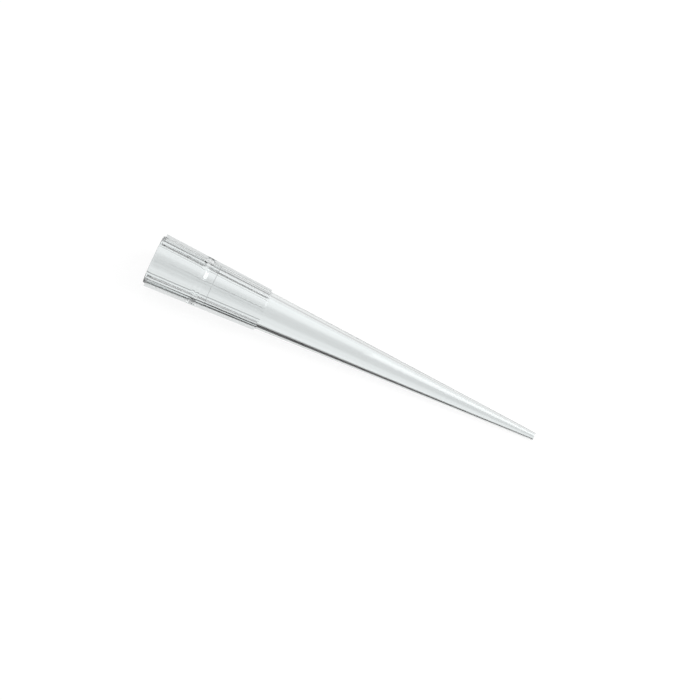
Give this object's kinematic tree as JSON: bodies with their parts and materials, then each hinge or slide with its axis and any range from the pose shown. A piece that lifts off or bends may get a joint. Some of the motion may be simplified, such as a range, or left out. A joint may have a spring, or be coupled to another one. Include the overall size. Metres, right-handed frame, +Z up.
{
  "type": "pipette tip",
  "caption": "Clear moulded pipette tip with a ribbed hub, a ring between the ribs and a long tapered shaft, lying on its side.",
  "frame": {"origin": "on the floor, under the middle of the tip as it lies at rest", "axes": "+X along the length towards the point, which lies on the floor; +Z up"},
  "size_m": [0.0512, 0.0066, 0.0067],
  "materials": {
    "clear_polypropylene": "clear, glossy polypropylene with a faint grey-green cast"
  },
  "bodies": {
    "root": {"pipette_tip": "clear_polypropylene"}
  },
  "joints": []
}
